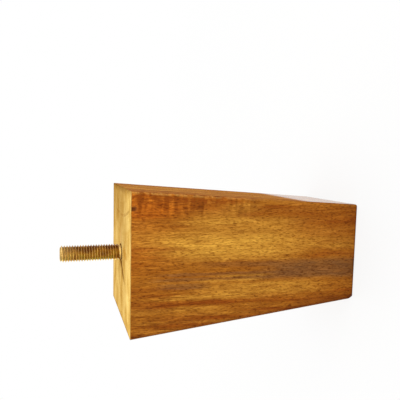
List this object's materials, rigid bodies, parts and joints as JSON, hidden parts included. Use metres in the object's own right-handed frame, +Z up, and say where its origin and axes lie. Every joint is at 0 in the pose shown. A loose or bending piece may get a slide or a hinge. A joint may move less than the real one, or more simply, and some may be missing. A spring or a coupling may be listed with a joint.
{
  "type": "tapered wooden furniture leg",
  "caption": "Square tapered solid wood furniture leg with a threaded hanger bolt standing out of its mounting face.",
  "frame": {"origin": "centre of the sole, on the floor", "axes": "+Z up the leg's axis and out along the stud; the side that faces the camera in the picture faces -Y"},
  "size_m": [0.065, 0.065, 0.148],
  "materials": {
    "stained_beech": "stained and lacquered on the sides, raw on the mounting face",
    "yellow_zinc": "yellow zinc plate"
  },
  "bodies": {
    "root": {"leg_block": "stained_beech", "hanger_bolt": "yellow_zinc"}
  },
  "joints": []
}
